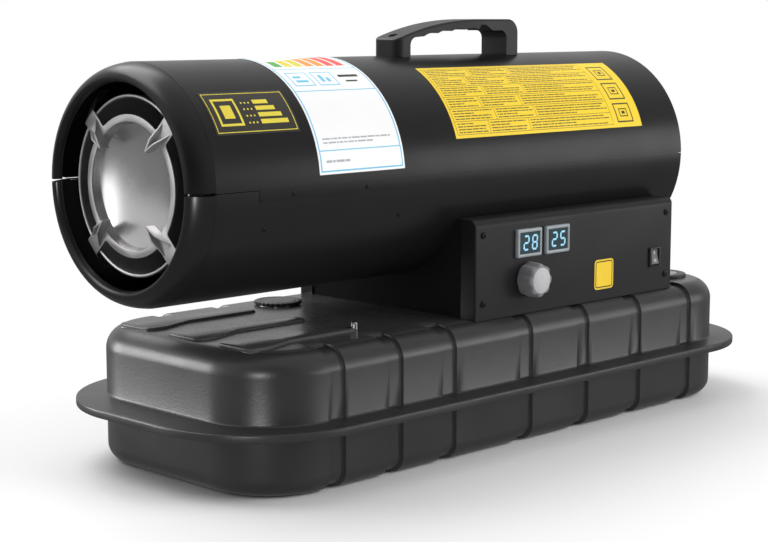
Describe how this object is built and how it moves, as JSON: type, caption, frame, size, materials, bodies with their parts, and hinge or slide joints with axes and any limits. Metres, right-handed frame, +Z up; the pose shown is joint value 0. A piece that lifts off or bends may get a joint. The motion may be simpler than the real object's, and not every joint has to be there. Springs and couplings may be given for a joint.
{
  "type": "diesel space heater",
  "caption": "Free-standing forced-air diesel heater: round hot-air barrel with a control box on a long flat fuel tank, with a carrying handle on top.",
  "frame": {"origin": "centre of the fuel tank's flat underside", "axes": "+X from the hot-air outlet towards the rear guard, the controls face -Y, +Z up"},
  "size_m": [0.7635, 0.312, 0.401],
  "materials": {
    "tank_black": "satin, fine grain",
    "barrel_black": "gloss powder coat",
    "panel_grey": "satin powder coat",
    "handle_charcoal": "moulded, matt",
    "knob_grey": "moulded, satin",
    "bezel_grey": "smoked",
    "switch_black": "gloss",
    "rocker_grey": "satin",
    "screw_black": "blackened",
    "bright_steel": "polished stainless",
    "cast_metal": "die cast",
    "motor_steel": "plated",
    "core_steel": "laminated, dull",
    "fan_metal": "pressed sheet",
    "brass_fitting": "turned",
    "ceramic_white": "glazed",
    "black_rubber": "dull",
    "cap_black": "moulded",
    "gauge_black": "moulded",
    "lens_clear": "clear",
    "pointer_red": "plain",
    "float_buff": "foam",
    "label_yellow": "printed film",
    "label_white": "printed film",
    "label_black": "printed film",
    "mark_yellow": "printed film",
    "board_green": "circuit board",
    "block_black": "potted"
  },
  "bodies": {
    "root": {"fuel_tank": "tank_black", "filler_strainer": "bright_steel", "gauge_body": "gauge_black", "gauge_lens": "lens_clear", "tank_breather": "bright_steel", "pickup_grommet": "black_rubber", "fuel_pickup": "brass_fitting", "pickup_filter": "brass_fitting", "base_frame": "panel_grey", "control_panel": "panel_grey", "side_cover": "panel_grey", "cover_screws": "screw_black", "base_bolts": "screw_black", "left_display": "bezel_grey", "right_display": "bezel_grey", "thermostat_body": "block_black", "thermostat_nut": "bright_steel", "switch_housing": "switch_black", "panel_mark": "mark_yellow", "cable_gland": "cap_black", "control_board": "board_green", "ignition_transformer": "block_black", "upper_shell": "barrel_black", "lower_shell": "barrel_black", "shell_screws": "screw_black", "chamber_brackets": "bright_steel", "flame_tube": "bright_steel", "chamber_head": "bright_steel", "flame_diffuser": "bright_steel", "flame_dome": "bright_steel", "burner_head": "cast_metal", "nozzle": "brass_fitting", "igniter": "ceramic_white", "photocell": "block_black", "motor_housing": "motor_steel", "motor_stator": "core_steel", "motor_bearings": "bright_steel", "motor_bracket": "motor_steel", "pump_housing": "cast_metal", "pump_cover": "cast_metal", "rear_guard": "screw_black", "fuel_hose": "black_rubber", "air_hose": "black_rubber", "handle": "handle_charcoal", "handle_screws": "screw_black", "side_label": "label_yellow", "energy_label": "label_white", "front_label": "label_black"},
    "gasket": {"cap_gasket": "black_rubber"},
    "cap": {"filler_cap": "cap_black"},
    "float": {"gauge_float": "float_buff"},
    "pointer": {"gauge_pointer": "pointer_red", "gauge_spindle": "brass_fitting"},
    "knob": {"control_knob": "knob_grey", "thermostat_shaft": "bright_steel"},
    "rocker": {"switch_rocker": "rocker_grey"},
    "rotor": {"motor_shaft": "motor_steel", "fan": "fan_metal", "pump_rotor": "core_steel", "pump_vanes": "block_black"}
  },
  "joints": [
    {"name": "cap_lift", "type": "slide", "parent": "root", "child": "gasket", "axis": [0, 0, 1], "range_m": [0, 0.03]},
    {"name": "cap_turn", "type": "hinge", "parent": "gasket", "child": "cap", "pos_m": [-0.136, 0.08, 0.1272], "axis": [0, 0, 1], "range_deg": [0, 90]},
    {"name": "float_lift", "type": "slide", "parent": "root", "child": "float", "axis": [0, 0, 1], "range_m": [0, 0.088]},
    {"name": "pointer_turn", "type": "hinge", "parent": "root", "child": "pointer", "pos_m": [0.288, -0.066, 0.1255], "axis": [0, 0, 1], "range_deg": [-198, 0]},
    {"name": "knob_turn", "type": "hinge", "parent": "root", "child": "knob", "pos_m": [0.0044, -0.13, 0.156], "axis": [0, -1, 0], "range_deg": [-180, 90]},
    {"name": "switch_rock", "type": "hinge", "parent": "root", "child": "rocker", "pos_m": [0.2047, -0.1195, 0.158], "axis": [1, 0, 0], "range_deg": [0, 16]},
    {"name": "fan_spin", "type": "hinge", "parent": "root", "child": "rotor", "pos_m": [0.15, 0, 0.2615], "axis": [1, 0, 0], "continuous": true}
  ],
  "couplings": [
    {"joint": "pointer_turn", "follows": "float_lift", "rad_per_m": -39.221}
  ]
}
